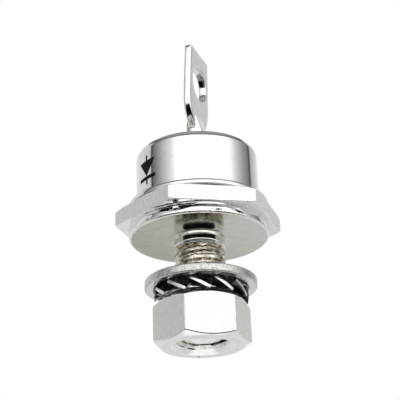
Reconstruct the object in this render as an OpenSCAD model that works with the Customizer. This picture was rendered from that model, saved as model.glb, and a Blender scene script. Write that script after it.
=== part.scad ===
// Stud diode: a plated copper stud base, a welded cap with a glass-sealed lug, and its loose nut and washers.
// Millimetres. The origin is the centre of the seat, the stud points down and the lug points up.

/* [Stud base] */
// Hexagon, across flats
hex_af = 17.2; // [16.8:0.1:19]
// Hexagon, thickness
hex_h = 1.9; // [1.2:0.05:4]
// How far the turned top comes down at the hexagon's corners
hex_top_drop = 0.25; // [0.1:0.05:0.5]
// How far the underside is relieved at the hexagon's corners
hex_under_drop = 0.12; // [0.05:0.01:0.3]
// Slope of the hexagon's turned faces, degrees
hex_slope = 20; // [18:1:35]
// Seat, diameter
seat_d = 16.5; // [14:0.1:16.7]
// Seat, height from its face to the hexagon
seat_h = 1.3; // [0.5:0.05:2.5]
// Chamfer round the seat's edge
seat_edge = 0.25; // [0.05:0.05:0.3]
// Raised floor for the die stack, diameter
floor_d = 11; // [10.2:0.1:12]
// Raised floor for the die stack, height above the hexagon
floor_h = 0.5; // [0.2:0.05:1]

/* [Stud] */
// Thread, outside diameter
thread_d = 5.95; // [5:0.05:6.4]
// Stud, length below the seat
stud_l = 12; // [10:0.1:16]
// Plain neck under the seat, length
neck_l = 1; // [0.5:0.1:2.2]
// Plain neck under the seat, how much smaller than the thread on each side
neck_relief = 0.1; // [0.05:0.05:0.3]
// How far the fillet at the neck's root flares past the thread
neck_flare = 0.08; // [0.05:0.01:0.3]
// Chamfer at the stud's end
stud_chamfer = 0.6; // [0.2:0.1:1]

/* [Cap] */
// Weld ring, thickness
ring_t = 0.35; // [0.3:0.05:1]
// How far the weld ring's edge stands in from the flange's edge
ring_inset = 0.3; // [0.05:0.05:0.4]
// Gap between the raised floor and the weld ring
ring_play = 0.1; // [0.05:0.05:0.3]
// Cap body, outside diameter
cap_d = 14.6; // [13.4:0.1:15.2]
// Cap, height from the weld ring to its top
cap_h = 7.4; // [6.2:0.1:9]
// Cap, sheet thickness
cap_wall = 0.65; // [0.4:0.05:0.7]
// Cap, outside radius at the crown
crown_r = 0.9; // [0.8:0.05:1.4]
// How far the flange's edge stands in from the hexagon's flats
flange_inset = 0.25; // [0.1:0.05:0.4]
// Flange, outside radius at its root
flange_root_r = 0.35; // [0.1:0.05:0.4]
// Hole in the cap's top, diameter
eyelet_d = 6.6; // [5.4:0.1:7.4]
// Turned-in collar round the hole, length
eyelet_l = 1.6; // [1.2:0.1:2]

/* [Lug] */
// Round lead of the lug, diameter
rod_d = 2.4; // [1.9:0.1:3.2]
// Length of the lead inside the cap, from the cap's top
rod_in = 2.4; // [2.1:0.1:2.8]
// Length of the lead above the cap's top that is still round
rod_out = 2.25; // [1:0.05:4]
// Length over which the round lead fades into the blade
fade_l = 3; // [1.5:0.1:4.5]
// Width of the fading lead where it ends in the blade
fade_w = 3; // [2.4:0.1:5]
// Blade, width
lug_w = 6.4; // [5.6:0.1:7.2]
// Blade, thickness
lug_t = 0.95; // [0.8:0.05:1.3]
// Blade, height of its end above the cap's top
lug_h = 14; // [13:0.1:16]
// Depth of the blade's widest point below its end
lug_shoulder = 7.3; // [6.8:0.05:8.2]
// Radius of the blade's lower shoulders
shoulder_r = 4.1; // [3.8:0.1:5.6]
// Radius of the blade's slightly bowed sides
side_r = 90; // [40:1:200]
// Blade, hole diameter
lug_hole_d = 4.2; // [3.5:0.05:4.6]
// Depth of the hole's centre below the blade's end
lug_hole_drop = 4.3; // [4:0.05:5.5]
// Turn of the blade's width from the hexagon's corner axis, degrees
lug_turn = 58; // [0:1:180]
// Lean of the blade along its face, degrees
lug_lean = 2.2; // [0:0.1:4]

/* [Seal and die stack] */
// Glass, how far it dips between the lead and the cap
glass_dip = 0.22; // [0.1:0.02:0.4]
// Glass, width of the flat lip that wets each wall
glass_lip = 0.12; // [0.05:0.01:0.2]
// Solder layers, thickness
solder_t = 0.08; // [0.04:0.01:0.15]
// Lower backing disc, diameter
lower_disc_d = 9.6; // [9:0.1:10]
// Lower backing disc, thickness
lower_disc_t = 0.6; // [0.4:0.05:0.9]
// Die, diameter
die_d = 8; // [7:0.1:8.2]
// Die, thickness
die_t = 0.3; // [0.2:0.01:0.4]
// Upper backing disc, diameter
upper_disc_d = 6.6; // [5:0.1:6.8]
// Upper backing disc, thickness
upper_disc_t = 0.4; // [0.3:0.05:0.7]
// Strap, thickness
strap_t = 0.6; // [0.4:0.05:0.7]
// Strap, width
strap_w = 2.6; // [2:0.1:3.2]
// Strap, length of its straight legs on each side of the axis
strap_leg = 1.4; // [1.2:0.1:2]

/* [Washers and nut] */
// Free gap between the seat and the flat washer
grip = 5.18; // [4.4:0.02:6]
// Flat washer, outside diameter
washer_d = 13; // [12:0.1:14]
// Flat washer, thickness
washer_t = 1.02; // [0.8:0.02:1.6]
// Flat washer, radius of its stamped edge
washer_edge = 0.2; // [0.1:0.05:0.3]
// Gap between the thread and the flat washer
washer_play = 0.22; // [0.1:0.02:0.4]
// Lock washer, diameter over the teeth
lock_d = 10.9; // [10.6:0.1:12]
// Lock washer, diameter of its ring
ring_of_lock_d = 8.2; // [7.8:0.1:8.6]
// Lock washer, sheet thickness
lock_t = 0.35; // [0.3:0.05:0.6]
// Lock washer, number of teeth
lock_teeth = 12; // [8:1:13]
// Lock washer, width of a tooth at its tip
tooth_w = 2.6; // [1.8:0.05:2.8]
// Lock washer, width of the slots between the teeth
slot_w = 0.3; // [0.15:0.05:0.5]
// Lock washer, twist of a tooth at its tip, degrees
tooth_twist = 30.5; // [20:0.5:35]
// Turn of the lock washer on the stud, degrees
lock_turn = 18; // [0:1:45]
// Gap between the thread and the lock washer
lock_play = 0.14; // [0.06:0.02:0.3]
// Slack between the loose pieces in the stack
stack_play = 0.03; // [0.01:0.01:0.1]
// Nut, across flats
nut_af = 9.9; // [9.4:0.1:11]
// Nut, height
nut_h = 5.15; // [4:0.05:6]
// How far the nut's chamfers come down at its corners
nut_drop = 0.55; // [0.2:0.05:0.6]
// Slope of the nut's chamfers, degrees
nut_slope = 30; // [25:1:35]
// Width of the countersinks at both ends of the nut's thread
nut_sink = 0.55; // [0.2:0.05:0.7]
// Gap between the stud's thread and the nut's bore
thread_play = 0.04; // [0.02:0.01:0.1]

/* [Hidden] */
$fn = 96;
// Overlap that lets a cut pass a face cleanly
pass = 0.1;

// Diameters that follow the hexagon and the thread
flange_d = hex_af - 2 * flange_inset;
ring_d = flange_d - 2 * ring_inset;
neck_d = thread_d - 2 * neck_relief;

// Heights of the base and the cap
hex_top = seat_h + hex_h;
ring_top = hex_top + ring_t;
cap_top = ring_top + cap_h;
eyelet_bottom = cap_top - eyelet_l;

// Heights of the die stack
floor_top = hex_top + floor_h;
lower_disc_z = floor_top + solder_t;
die_solder_z = lower_disc_z + lower_disc_t;
die_z = die_solder_z + solder_t;
upper_solder_z = die_z + die_t;
upper_disc_z = upper_solder_z + solder_t;
strap_solder_z = upper_disc_z + upper_disc_t;
strap_z = strap_solder_z + solder_t;

// Heights of the lug
rod_bottom = cap_top - rod_in;
fade_z = cap_top + rod_out;
lug_top = cap_top + lug_h;
shoulder_z = lug_top - lug_shoulder;
hole_z = lug_top - lug_hole_drop;
// The fading lead ends just inside the blade, and the blade's middle strip starts half-way up it
fade_end_t = 0.9 * lug_t;
strip_z = fade_z + fade_l / 2;

// The teeth are rooted this far inside the lock washer's ring, already turned a little
tooth_root = 0.35;
root_twist = 3;
tooth_root_r = ring_of_lock_d / 2 - tooth_root;
tooth_l = lock_d / 2 - tooth_root_r;

// Twist and height of a tooth where its corners meet the lock washer's rim
corner_r = sqrt(pow(lock_d / 2, 2) - pow(tooth_w * cos(tooth_twist) / 2, 2));
corner_twist = root_twist + (tooth_twist - root_twist) * (corner_r - tooth_root_r) / tooth_l;
tooth_h = tooth_w * sin(corner_twist) + lock_t * cos(corner_twist);

// Heights of the loose stack, from the seat down
washer_bottom = -grip - washer_t;
lock_z = washer_bottom - stack_play - tooth_h / 2;
nut_top = lock_z - tooth_h / 2 - stack_play;
nut_bottom = nut_top - nut_h;

// Plating and other finishes
bright_plate = [0.82, 0.82, 0.80];
satin_plate = [0.70, 0.70, 0.67];
black_steel = [0.09, 0.09, 0.09];
zinc_plate = [0.74, 0.74, 0.71];
steel = [0.62, 0.62, 0.62];
copper = [0.78, 0.47, 0.32];
molybdenum = [0.48, 0.49, 0.51];
solder_grey = [0.60, 0.60, 0.63];
silicon = [0.22, 0.23, 0.27];
sealing_glass = [0.25, 0.36, 0.36];
silicone = [0.86, 0.86, 0.84];

// Upright hexagonal bar with corners along +X
module hex_bar(af, h) {
    cylinder(d = af / cos(30), h = h, $fn = 6);
}

// Cone that cuts the corners of a hexagon down by drop at its upper end
module corner_cone(af, h, drop, slope) {
    face_r = af / 2 / cos(30) - drop / tan(slope);
    cylinder(r1 = face_r + h / tan(slope), r2 = face_r, h = h);
}

// Half section of a drawn cup with a rounded crown
module cup_section(r, h, crown) {
    square([r, h - crown]);
    square([r - crown, h]);
    translate([r - crown, h - crown]) circle(r = crown);
}

// Half section of a plate whose outer edge is rounded
module washer_section(inner_r, outer_r, t, edge) {
    translate([inner_r, 0]) square([outer_r - edge - inner_r, t]);
    translate([inner_r, edge]) square([outer_r - inner_r, t - 2 * edge]);
    for (z = [edge, t - edge]) translate([outer_r - edge, z]) circle(r = edge);
}

// Flat layer of the die stack
module layer(d, t, z) {
    translate([0, 0, z]) cylinder(d = d, h = t);
}

// Half section of the fillet between the neck and the seat
module neck_root_section() {
    root_r = neck_relief + neck_flare;
    translate([neck_d / 2, -root_r]) difference() {
        translate([-pass, 0]) square(root_r + pass);
        translate([root_r, 0]) circle(r = root_r);
    }
}

// Hexagon, seat, raised floor and stud in one turned piece
module stud_base() {
    tip_d = thread_d - 2 * stud_chamfer;
    color(bright_plate) {
        translate([0, 0, seat_h]) intersection() {
            hex_bar(hex_af, hex_h);
            corner_cone(hex_af, hex_h, hex_top_drop, hex_slope);
            translate([0, 0, hex_h]) mirror([0, 0, 1]) corner_cone(hex_af, hex_h, hex_under_drop, hex_slope);
        }
        translate([0, 0, seat_edge]) cylinder(d = seat_d, h = seat_h - seat_edge + pass);
        cylinder(d1 = seat_d - 2 * seat_edge, d2 = seat_d, h = seat_edge);
        translate([0, 0, hex_top - pass]) cylinder(d = floor_d, h = floor_h + pass);
        translate([0, 0, -neck_l - pass]) cylinder(d = neck_d, h = neck_l + 2 * pass);
        rotate_extrude() neck_root_section();
        translate([0, 0, stud_chamfer - stud_l]) cylinder(d = thread_d, h = stud_l - stud_chamfer - neck_l);
        translate([0, 0, -stud_l]) cylinder(d1 = tip_d, d2 = thread_d, h = stud_chamfer);
    }
}

// Ring on the base that the cap is welded to
module weld_ring() {
    color(steel) translate([0, 0, hex_top]) difference() {
        cylinder(d = ring_d, h = ring_t);
        translate([0, 0, -pass]) cylinder(d = floor_d + 2 * ring_play, h = ring_t + 2 * pass);
    }
}

// Half section of the cap, standing on the weld ring
module cap_section() {
    cap_r = cap_d / 2;
    difference() {
        union() {
            square([flange_d / 2, cap_wall]);
            cup_section(cap_r, cap_h, crown_r);
            difference() {
                translate([cap_r - pass, cap_wall - pass]) square(flange_root_r + pass);
                translate([cap_r + flange_root_r, cap_wall + flange_root_r]) circle(r = flange_root_r);
            }
        }
        translate([0, -pass]) cup_section(cap_r - cap_wall, cap_h - cap_wall + pass, crown_r - cap_wall);
        square([eyelet_d / 2, cap_h + pass]);
    }
    translate([eyelet_d / 2, cap_h - eyelet_l]) square([cap_wall, eyelet_l - cap_wall / 2]);
}

// Drawn can with a welded flange and a collar for the glass
module cap() {
    color(bright_plate) translate([0, 0, ring_top]) rotate_extrude() cap_section();
}

// Glass between the cap's collar and the lug
module glass_seal() {
    inner_r = rod_d / 2;
    width = eyelet_d / 2 - inner_r;
    chord = width / 2 - glass_lip;
    dip_r = (chord * chord + glass_dip * glass_dip) / (2 * glass_dip);
    color(sealing_glass) translate([0, 0, eyelet_bottom]) rotate_extrude() difference() {
        translate([inner_r, 0]) square([width, eyelet_l]);
        translate([inner_r + width / 2, eyelet_l + dip_r - glass_dip]) circle(r = dip_r);
    }
}

// Shape common to two circles that touch the blade's sides at its widest point
module lens(r) {
    shift = r - lug_w / 2;
    intersection() {
        translate([shift, shoulder_z]) circle(r = r);
        translate([-shift, shoulder_z]) circle(r = r);
    }
}

// Outline of the blade and of its middle strip, which joins it to the lead, with its height along Y
module blade_outline() {
    translate([-rod_d / 2, strip_z]) square([rod_d, hole_z - strip_z]);
    intersection() {
        translate([-lug_w / 2, shoulder_z]) square([lug_w, lug_shoulder]);
        lens(side_r);
    }
    intersection() {
        translate([-lug_w / 2, shoulder_z - shoulder_r]) square([lug_w, shoulder_r + pass]);
        lens(shoulder_r);
    }
}

// Outline across the thickness, from the round lead to the blade, with its height along Y
module fade_outline() {
    lead = rod_d / 2;
    tip = fade_end_t / 2;
    polygon([[-lead, 0], [lead, 0], [tip, fade_l], [-tip, fade_l]]);
}

// Part of the lead that is beaten from round to flat
module fade() {
    translate([0, 0, fade_z]) intersection() {
        cylinder(d1 = rod_d, d2 = fade_w, h = fade_l);
        rotate([90, 0, 90]) linear_extrude(height = 2 * fade_w, center = true) fade_outline();
    }
}

// Round lead beaten flat into a leaning blade with a hole
module terminal_lug() {
    color(satin_plate) rotate([0, 0, lug_turn]) {
        translate([0, 0, rod_bottom]) cylinder(d = rod_d, h = fade_z - rod_bottom + pass);
        translate([0, 0, fade_z]) rotate([lug_lean, 0, 0]) translate([0, 0, -fade_z]) {
            fade();
            rotate([90, 0, 0]) linear_extrude(height = lug_t, center = true) difference() {
                blade_outline();
                translate([0, hole_z]) circle(d = lug_hole_d);
            }
        }
    }
}

// Side outline of the strap, from the upper disc to the lug, with its height along Y
module strap_outline() {
    rise = rod_bottom - strap_z;
    difference() {
        union() {
            translate([-strap_leg, 0]) square([2 * strap_leg, rise]);
            translate([strap_leg, rise / 2]) circle(d = rise);
        }
        translate([-strap_leg - pass, strap_t]) square([2 * strap_leg + pass, rise - 2 * strap_t]);
        translate([strap_leg, rise / 2]) circle(d = rise - 2 * strap_t);
    }
}

// C-shaped strap that carries the current and takes up heat expansion
module inner_strap() {
    color(copper) rotate([0, 0, lug_turn]) translate([0, 0, strap_z]) {
        rotate([90, 0, 0]) linear_extrude(height = strap_w, center = true) strap_outline();
    }
}

module strap_solder() {
    color(solder_grey) layer(strap_w, solder_t, strap_solder_z);
}

module upper_disc() {
    color(molybdenum) layer(upper_disc_d, upper_disc_t, upper_disc_z);
}

module upper_solder() {
    color(solder_grey) layer(upper_disc_d, solder_t, upper_solder_z);
}

module silicon_die() {
    color(silicon) layer(die_d, die_t, die_z);
}

// Bead of rubber round the die's edge, sitting on the lower disc
module die_coating() {
    bead = solder_t + die_t;
    color(silicone) translate([0, 0, die_solder_z]) rotate_extrude() {
        translate([die_d / 2, 0]) intersection() {
            square(bead);
            circle(r = bead);
        }
    }
}

module die_solder() {
    color(solder_grey) layer(die_d, solder_t, die_solder_z);
}

module lower_disc() {
    color(molybdenum) layer(lower_disc_d, lower_disc_t, lower_disc_z);
}

module base_solder() {
    color(solder_grey) layer(lower_disc_d, solder_t, floor_top);
}

// Stamped washer with rounded edges
module flat_washer() {
    hole_r = thread_d / 2 + washer_play;
    color(zinc_plate) translate([0, 0, washer_bottom]) rotate_extrude() {
        washer_section(hole_r, washer_d / 2, washer_t, washer_edge);
    }
}

// Plan of one tooth along +X, between the slots on its two sides
module tooth_plan() {
    root_half = PI * tooth_root_r / lock_teeth - slot_w / 2;
    tip_half = PI * lock_d / 2 / lock_teeth - slot_w / 2;
    tip_r = tooth_root_r + tooth_l;
    polygon([[tooth_root_r, -root_half], [tip_r, -tip_half], [tip_r, tip_half], [tooth_root_r, root_half]]);
}

// One tooth along +X, flat at its root, wider and twisted towards its tip
module lock_tooth() {
    turn = tooth_twist - root_twist;
    intersection() {
        translate([tooth_root_r, 0, 0]) rotate([0, 90, 0]) {
            linear_extrude(height = tooth_l, twist = turn, slices = 6, segments = 4) {
                rotate(-root_twist) square([lock_t, tooth_w], center = true);
            }
        }
        linear_extrude(height = 2 * tooth_h, center = true) tooth_plan();
    }
}

// Ring with twisted teeth that bite the nut and the flat washer
module lock_washer() {
    color(black_steel) rotate([0, 0, lock_turn]) translate([0, 0, lock_z]) {
        difference() {
            cylinder(d = ring_of_lock_d, h = lock_t, center = true);
            cylinder(d = thread_d + 2 * lock_play, h = lock_t + pass, center = true);
        }
        intersection() {
            for (i = [0 : lock_teeth - 1]) rotate([0, 0, i * 360 / lock_teeth]) lock_tooth();
            cylinder(d = lock_d, h = 2 * tooth_h, center = true);
        }
    }
}

// Nut with chamfered ends and a countersunk bore
module hex_nut() {
    bore_d = thread_d + 2 * thread_play;
    sink_h = nut_sink + pass;
    sink_d = bore_d + 2 * sink_h;
    color(bright_plate) translate([0, 0, nut_bottom]) difference() {
        intersection() {
            hex_bar(nut_af, nut_h);
            corner_cone(nut_af, nut_h, nut_drop, nut_slope);
            translate([0, 0, nut_h]) mirror([0, 0, 1]) corner_cone(nut_af, nut_h, nut_drop, nut_slope);
        }
        translate([0, 0, -pass]) cylinder(d = bore_d, h = nut_h + 2 * pass);
        translate([0, 0, -pass]) cylinder(d1 = sink_d, d2 = bore_d, h = sink_h);
        translate([0, 0, nut_h - nut_sink]) cylinder(d1 = bore_d, d2 = sink_d, h = sink_h);
    }
}

stud_base();
weld_ring();
cap();
glass_seal();
terminal_lug();
inner_strap();
strap_solder();
upper_disc();
upper_solder();
silicon_die();
die_coating();
die_solder();
lower_disc();
base_solder();
flat_washer();
lock_washer();
hex_nut();
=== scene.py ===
"""Looks of the stud diode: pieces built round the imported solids, their finishes, light and camera."""
import math
from collections import namedtuple

import bmesh
import bpy
import numpy as np
from mathutils import Matrix, Vector


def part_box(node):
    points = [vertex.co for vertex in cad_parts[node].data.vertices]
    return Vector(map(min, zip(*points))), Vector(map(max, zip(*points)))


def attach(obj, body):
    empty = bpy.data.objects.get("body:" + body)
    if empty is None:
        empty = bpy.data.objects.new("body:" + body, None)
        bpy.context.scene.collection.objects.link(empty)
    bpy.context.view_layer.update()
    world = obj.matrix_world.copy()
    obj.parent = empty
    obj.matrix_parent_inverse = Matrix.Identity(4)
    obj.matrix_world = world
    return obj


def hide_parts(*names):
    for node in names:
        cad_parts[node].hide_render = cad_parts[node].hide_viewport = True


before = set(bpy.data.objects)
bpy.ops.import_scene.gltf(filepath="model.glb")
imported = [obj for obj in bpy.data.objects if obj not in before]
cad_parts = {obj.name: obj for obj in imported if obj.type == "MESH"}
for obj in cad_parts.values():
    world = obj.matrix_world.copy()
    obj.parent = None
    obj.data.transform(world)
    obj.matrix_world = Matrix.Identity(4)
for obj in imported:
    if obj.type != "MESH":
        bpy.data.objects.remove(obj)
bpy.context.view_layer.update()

MM = 0.001
TURN = 2 * math.pi
# Angle between the middle of a hexagon's flat and its corner
HALF_FLAT = math.pi / 6
# Points closer than this are one, in metres
JOIN = 1e-7
# Keeps a divisor from being zero
TINY = 1e-6

# Sizes in millimetres that the solids' boxes don't give

# Threads: the crest and the flank are shares of half a pitch
THREAD_R, PITCH, THREAD_DEPTH, CREST_WEAR, THREAD_PLAY = 2.975, 1.0, 0.36, 0.03, 0.04
CREST, FLANK, THREAD_PHASE, STEPS_PER_PITCH = 0.40, 0.38, 0.33, 14

# Stud base
FLOOR_R, FLOOR_EDGE = 5.5, 0.06
HEX_CORNER_R, HEX_SLOPE = 0.22, math.radians(20)
HEX_TOP_DROP, HEX_TOP_EDGE = 0.25, 0.09
HEX_UNDER_DROP, HEX_UNDER_EDGE = 0.12, 0.1
SEAT_R, SEAT_H, SEAT_EDGE, WALL_END = 8.25, 1.3, 0.28, 0.3
# Radii of plain rows that divide the seat's face
SEAT_ROWS = (6.6, 5.2, 4.0)
ROOT_R = 0.06
# Line turned into the seat's wall: its drop below the hexagon, and its (depth, height) points
LINE_DROP = 0.27
LINE = ((0, 0.04), (0.035, 0.02), (0.035, 0), (0, -0.045))
# Neck from the seat down to the thread, as (radius, height)
NECK = [
    (3.11, 0), (3.095, -0.015), (3.085, -0.05), (3.065, -0.16), (3.045, -0.27),
    (3.03, -0.31), (3.02, -0.34), (3.015, -0.38), (3.01, -0.70), (3.0, -0.92),
    (2.99, -1.08), (2.95, -1.13), (2.93, -1.17), (2.955, -1.23), (THREAD_R, -1.28),
]
THREAD_TOP, FADE_FROM, THREAD_FADE = -1.35, -1.3, 0.4
STUD_CHAMFER, STUD_END_RING = 0.6, 0.25

# Weld ring and cap. The plain rows keep the shading of the cap's long faces even
RING_PLAY, RING_EDGE = 0.1, 0.08
CAP_R, CAP_WALL, CROWN_R = 7.3, 0.65, 1.0
FLANGE_ROOT_R, FLANGE_FOOT_EDGE, FLANGE_EDGE = 0.35, 0.05, 0.33
EYELET_R, EYELET_L, EYELET_LIP = 3.3, 1.6, 0.25
LOW_ROW, HIGH_ROW, TOP_ROW_R, LIP_ROW = 2.5, 1.0, 5.4, 0.3

# Terminal lug: the lead, the fade from lead to blade, the blade and its hole
ROD_R, ROD_OUT, ROD_EDGE = 1.2, 2.25, 0.1
FADE_L, FADE_R, FLAT_START, FLAT_SHARE, FLAT_POWER = 3.0, 1.5, 1.08 * ROD_R, 0.9, 24
LUG_W, LUG_T, LUG_H, LUG_EDGE, EDGE_SHARE = 6.4, 0.95, 14.0, 0.06, 0.72
LUG_SHOULDER, SHOULDER_R, SHOULDER_RISE, SHOULDER_STEEP = 7.3, 4.1, 0.3, math.radians(39)
SIDE_R, BLEND, BLEND_INSET = 90.0, 0.1, 0.04
LUG_HOLE_R, LUG_HOLE_DROP, HOLE_EDGE = 2.1, 4.3, 0.16
DRILL_FLARE, DRILL_CLEAR, DRILL_REACH = 0.35, 0.08, 1.2
LUG_TURN, LUG_LEAN, LEAN_BEND = math.radians(58), math.radians(2.2), 0.6
# The blade's narrow edge seen from its middle, where the points stand closer, in radians
NARROW = 0.22
# Rows of points start this far inside the cap, and the closer ones a little below the fade
ROWS_INSIDE, ROWS_LEAD_END, ROWS_FADE_START = 1.0, 0.3, 0.2
# The flat faces start this far up the fade, and their normals point at least this much to the side
FACE_START, FACE_NORMAL = 0.12, 0.95

# Flat washer and lock washer
WASHER_HOLE_R, WASHER_EDGE, WASHER_HOLE_EDGE, WASHER_ROW = 3.195, 0.2, 0.08, 1.2
LOCK_R, LOCK_RING_R, LOCK_HOLE_R, LOCK_T, LOCK_EDGE = 5.45, 4.1, 3.115, 0.35, 0.06
# Painted shade on the flat washer's underside reaches this far past the lock washer
PAINTED_SHADE_PAST_LOCK = 0.1
LOCK_TEETH, LOCK_TURN, TOOTH_STEPS = 12, math.radians(18), 7
TOOTH_W, TOOTH_ROOT, TIP_INSET, SLOT_W = 2.6, 0.35, 0.03, 0.3
ROOT_TWIST, TIP_TWIST = math.radians(3), math.radians(30.5)

# Nut, with the (outward, inward) points of its countersink's soft edges
NUT_CORNER_R, NUT_DROP, NUT_SLOPE = 0.3, 0.55, math.radians(30)
NUT_TOP_EDGE, NUT_UNDER_EDGE, NUT_SINK, NUT_MOUTH, NUT_STEPS = 0.2, 0.24, 0.55, 0.1, 66
TOP_FACE_INSET = 0.06
LOW_MOUTH = ((0.08, 0), (0.02, 0.02), (-0.04, 0.075))
TOP_MOUTH = ((-0.04, 0.075), (0, 0.02))

# Camera, from the photo's outline
CAMERA_AT = np.array([-21.69, -111.91, -44.96])
CAMERA_TO = np.array([0.2386, -0.0462, 5.071])
CAMERA_ROLL, CAMERA_TURN = math.radians(-2.083), math.radians(-100.97)
CAMERA_LENS, CAMERA_SENSOR = 93.97, 36
CAMERA_CLIP = (0.005, 10)

# Polarity sign: each shape has a half width, a low edge at its middle and at its sides, and a high edge
MARK_DROP, MARK_TURN, MARK_STEPS = 3.7, CAMERA_TURN - math.radians(53), 13
MARK_SUNK, MARK_PROUD = 0.01, 0.012
MARK_SHAPES = (
    (0.14, 1.14, 1.14, 1.8),
    (1.5, -0.86, 1.15, 1.15),
    (1.5, -1.3, -1.3, -0.85),
    (0.14, -1.85, -1.85, -1.29),
)

# Nicks in the seat's wall, as (degrees round the axis, height, half width, half height)
NICKS = ((-120, 0.74, 0.6, 0.26), (-87, 0.40, 0.7, 0.12), (-66, 0.64, 0.9, 0.22), (-143, 0.6, 0.4, 0.2))
NICK_TILT = 0.55

# Panels that the metal mirrors, as (degrees from the camera's side, level)
WALLS = (
    (-180, 0.92), (-112, 0.75), (-97, 0.70), (-95, 0.03), (-92, 0.03), (-90, 0.18), (-80, 0.30),
    (-64, 0.60), (-48, 0.95), (-36, 1.48), (60, 1.48), (80, 0.74), (95, 0.42), (114, 0.21),
    (116, 0.03), (119, 0.03), (121, 0.52), (134, 0.66), (160, 0.92), (180, 0.96),
)
LOW_WALLS = ((-180, 0.75), (-140, 0.72), (-118, 0.66), (118, 0.66), (140, 0.72), (180, 0.75))
# Ceiling, as (upward part of the direction, level)
CEILING = ((0.0, 0.05), (0.72, 0.05), (0.84, 0.30), (1.0, 0.38))
# Upward parts between which one panel passes into the next
CEILING_FROM, LOW_FROM, FLOOR_FROM = (0.67, 0.72), (-0.02, -0.14), (-0.85, -0.92)
# Dark panel low in front: half its width in degrees, its middle and half its height, and its squareness
DARK_TURN, DARK_Z, DARK_TALL, DARK_POWER = 78, -0.51, 0.37, 4.0
DARK_EDGE = (1.2, 0.9)

# Floor in metres: half its side, and the distances between which it fades out
GROUND_HALF, GROUND_FADE = 0.16, (0.035, 0.13)


def box_mm(node):
    """Lowest and highest corner of a CAD node, in millimetres."""
    lo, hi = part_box(node)
    return np.array(lo) / MM, np.array(hi) / MM


def share_of(value, start, span):
    """How far value has come from start along span, kept between 0 and 1."""
    return np.clip((value - start) / span, 0, 1)


# Meshes

def clean(mesh):
    """Merges points that fall together, drops the faces between them and turns all faces outwards."""
    work = bmesh.new()
    work.from_mesh(mesh)
    bmesh.ops.remove_doubles(work, verts=work.verts, dist=JOIN)
    bmesh.ops.dissolve_degenerate(work, edges=work.edges, dist=JOIN)
    bmesh.ops.recalc_face_normals(work, faces=work.faces)
    work.to_mesh(mesh)
    work.free()


def add_object(name, data):
    """New object of the scene."""
    obj = bpy.data.objects.new(name, data)
    bpy.context.scene.collection.objects.link(obj)
    return obj


def add_mesh(name, points, faces, zones=None):
    """Object from points in millimetres and faces, whose zones pick the material slots."""
    mesh = bpy.data.meshes.new(name)
    mesh.from_pydata([tuple(p) for p in np.asarray(points) * MM], [], faces)
    if zones is not None:
        mesh.polygons.foreach_set("material_index", zones)
    clean(mesh)
    return add_object(name, mesh)


def skin(name, levels, angles, loop=False, zones=None):
    """Skin over levels of (radius, height) round the axis, with a zone for the band after each level.

    A loop joins the last level to the first, else the two ends are capped.
    """
    n = len(angles)
    zones = zones or [0] * len(levels)
    rings = []
    for r, z in levels:
        r = np.broadcast_to(r, n)
        z = np.broadcast_to(z, n)
        rings.append(np.stack([r * np.cos(angles), r * np.sin(angles), z], 1))
    points = np.concatenate(rings)
    faces, marks = [], []
    bands = len(rings) if loop else len(rings) - 1
    for i in range(bands):
        a, b = i * n, ((i + 1) % len(rings)) * n
        for k in range(n):
            q = (k + 1) % n
            faces.append((a + k, a + q, b + q, b + k))
        marks += [zones[i]] * n
    if not loop:
        for ring in (0, len(rings) - 1):
            hub = len(points)
            points = np.concatenate([points, [[0, 0, rings[ring][:, 2].mean()]]])
            faces += [(ring * n + k, ring * n + (k + 1) % n, hub) for k in range(n)]
            marks += [zones[ring]] * n
    return add_mesh(name, points, faces, marks)


class Side:
    """Levels of a turned side, each with the zone of the band that follows it."""

    def __init__(self):
        self.levels, self.zones = [], []

    def put(self, levels, zone, last=None):
        """Adds levels in one zone. The band after the last of them may have a zone of its own."""
        self.levels += levels
        self.zones += [zone] * len(levels)
        if last is not None:
            self.zones[-1] = last


def soften(obj, angle):
    """Smooth shading that keeps edges sharper than the angle in degrees, and flat faces flat."""
    obj.data.polygons.foreach_set("use_smooth", [True] * len(obj.data.polygons))
    obj.data.set_sharp_from_angle(angle=math.radians(angle))
    weighted = obj.modifiers.new("even faces", "WEIGHTED_NORMAL")
    weighted.keep_sharp = True
    return obj


def settle(obj):
    """Applies the object's modifiers."""
    shown = obj.evaluated_get(bpy.context.evaluated_depsgraph_get())
    mesh = bpy.data.meshes.new_from_object(shown)
    obj.modifiers.clear()
    obj.data = mesh


def combine(obj, other, how):
    """Joins another mesh to the object or cuts it out, and removes the other."""
    boolean = obj.modifiers.new("combine", "BOOLEAN")
    boolean.operation, boolean.solver, boolean.object = how, "EXACT", other
    boolean.use_self = how == "UNION"
    settle(obj)
    bpy.data.objects.remove(other)


def arc(centre, radius, start, end, steps):
    """Points (r, z) of an arc between two angles in degrees."""
    turn = np.radians(np.linspace(start, end, steps + 1))
    return [(centre[0] + radius * math.cos(t), centre[1] + radius * math.sin(t)) for t in turn]


def even_angles(n):
    """Equal steps round the axis."""
    return np.linspace(0, TURN, n, endpoint=False)


def flat_reach(af, corner):
    """Angle between the middle of a hexagon's flat and the start of its rounded corner."""
    return math.atan2((af / 2 - corner) * math.tan(HALF_FLAT), af / 2)


def hex_radius(angles, af, corner):
    """Polar radius of a hexagon with corners along +X that are rounded a little."""
    off = np.abs(np.mod(angles, 2 * HALF_FLAT) - HALF_FLAT)
    hub = (af / 2 - corner) / math.cos(HALF_FLAT)
    turn = HALF_FLAT - off
    rounded = hub * np.cos(turn) + np.sqrt(np.maximum(corner ** 2 - (hub * np.sin(turn)) ** 2, 0))
    return np.where(off > flat_reach(af, corner), rounded, af / 2 / np.cos(off))


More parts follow.
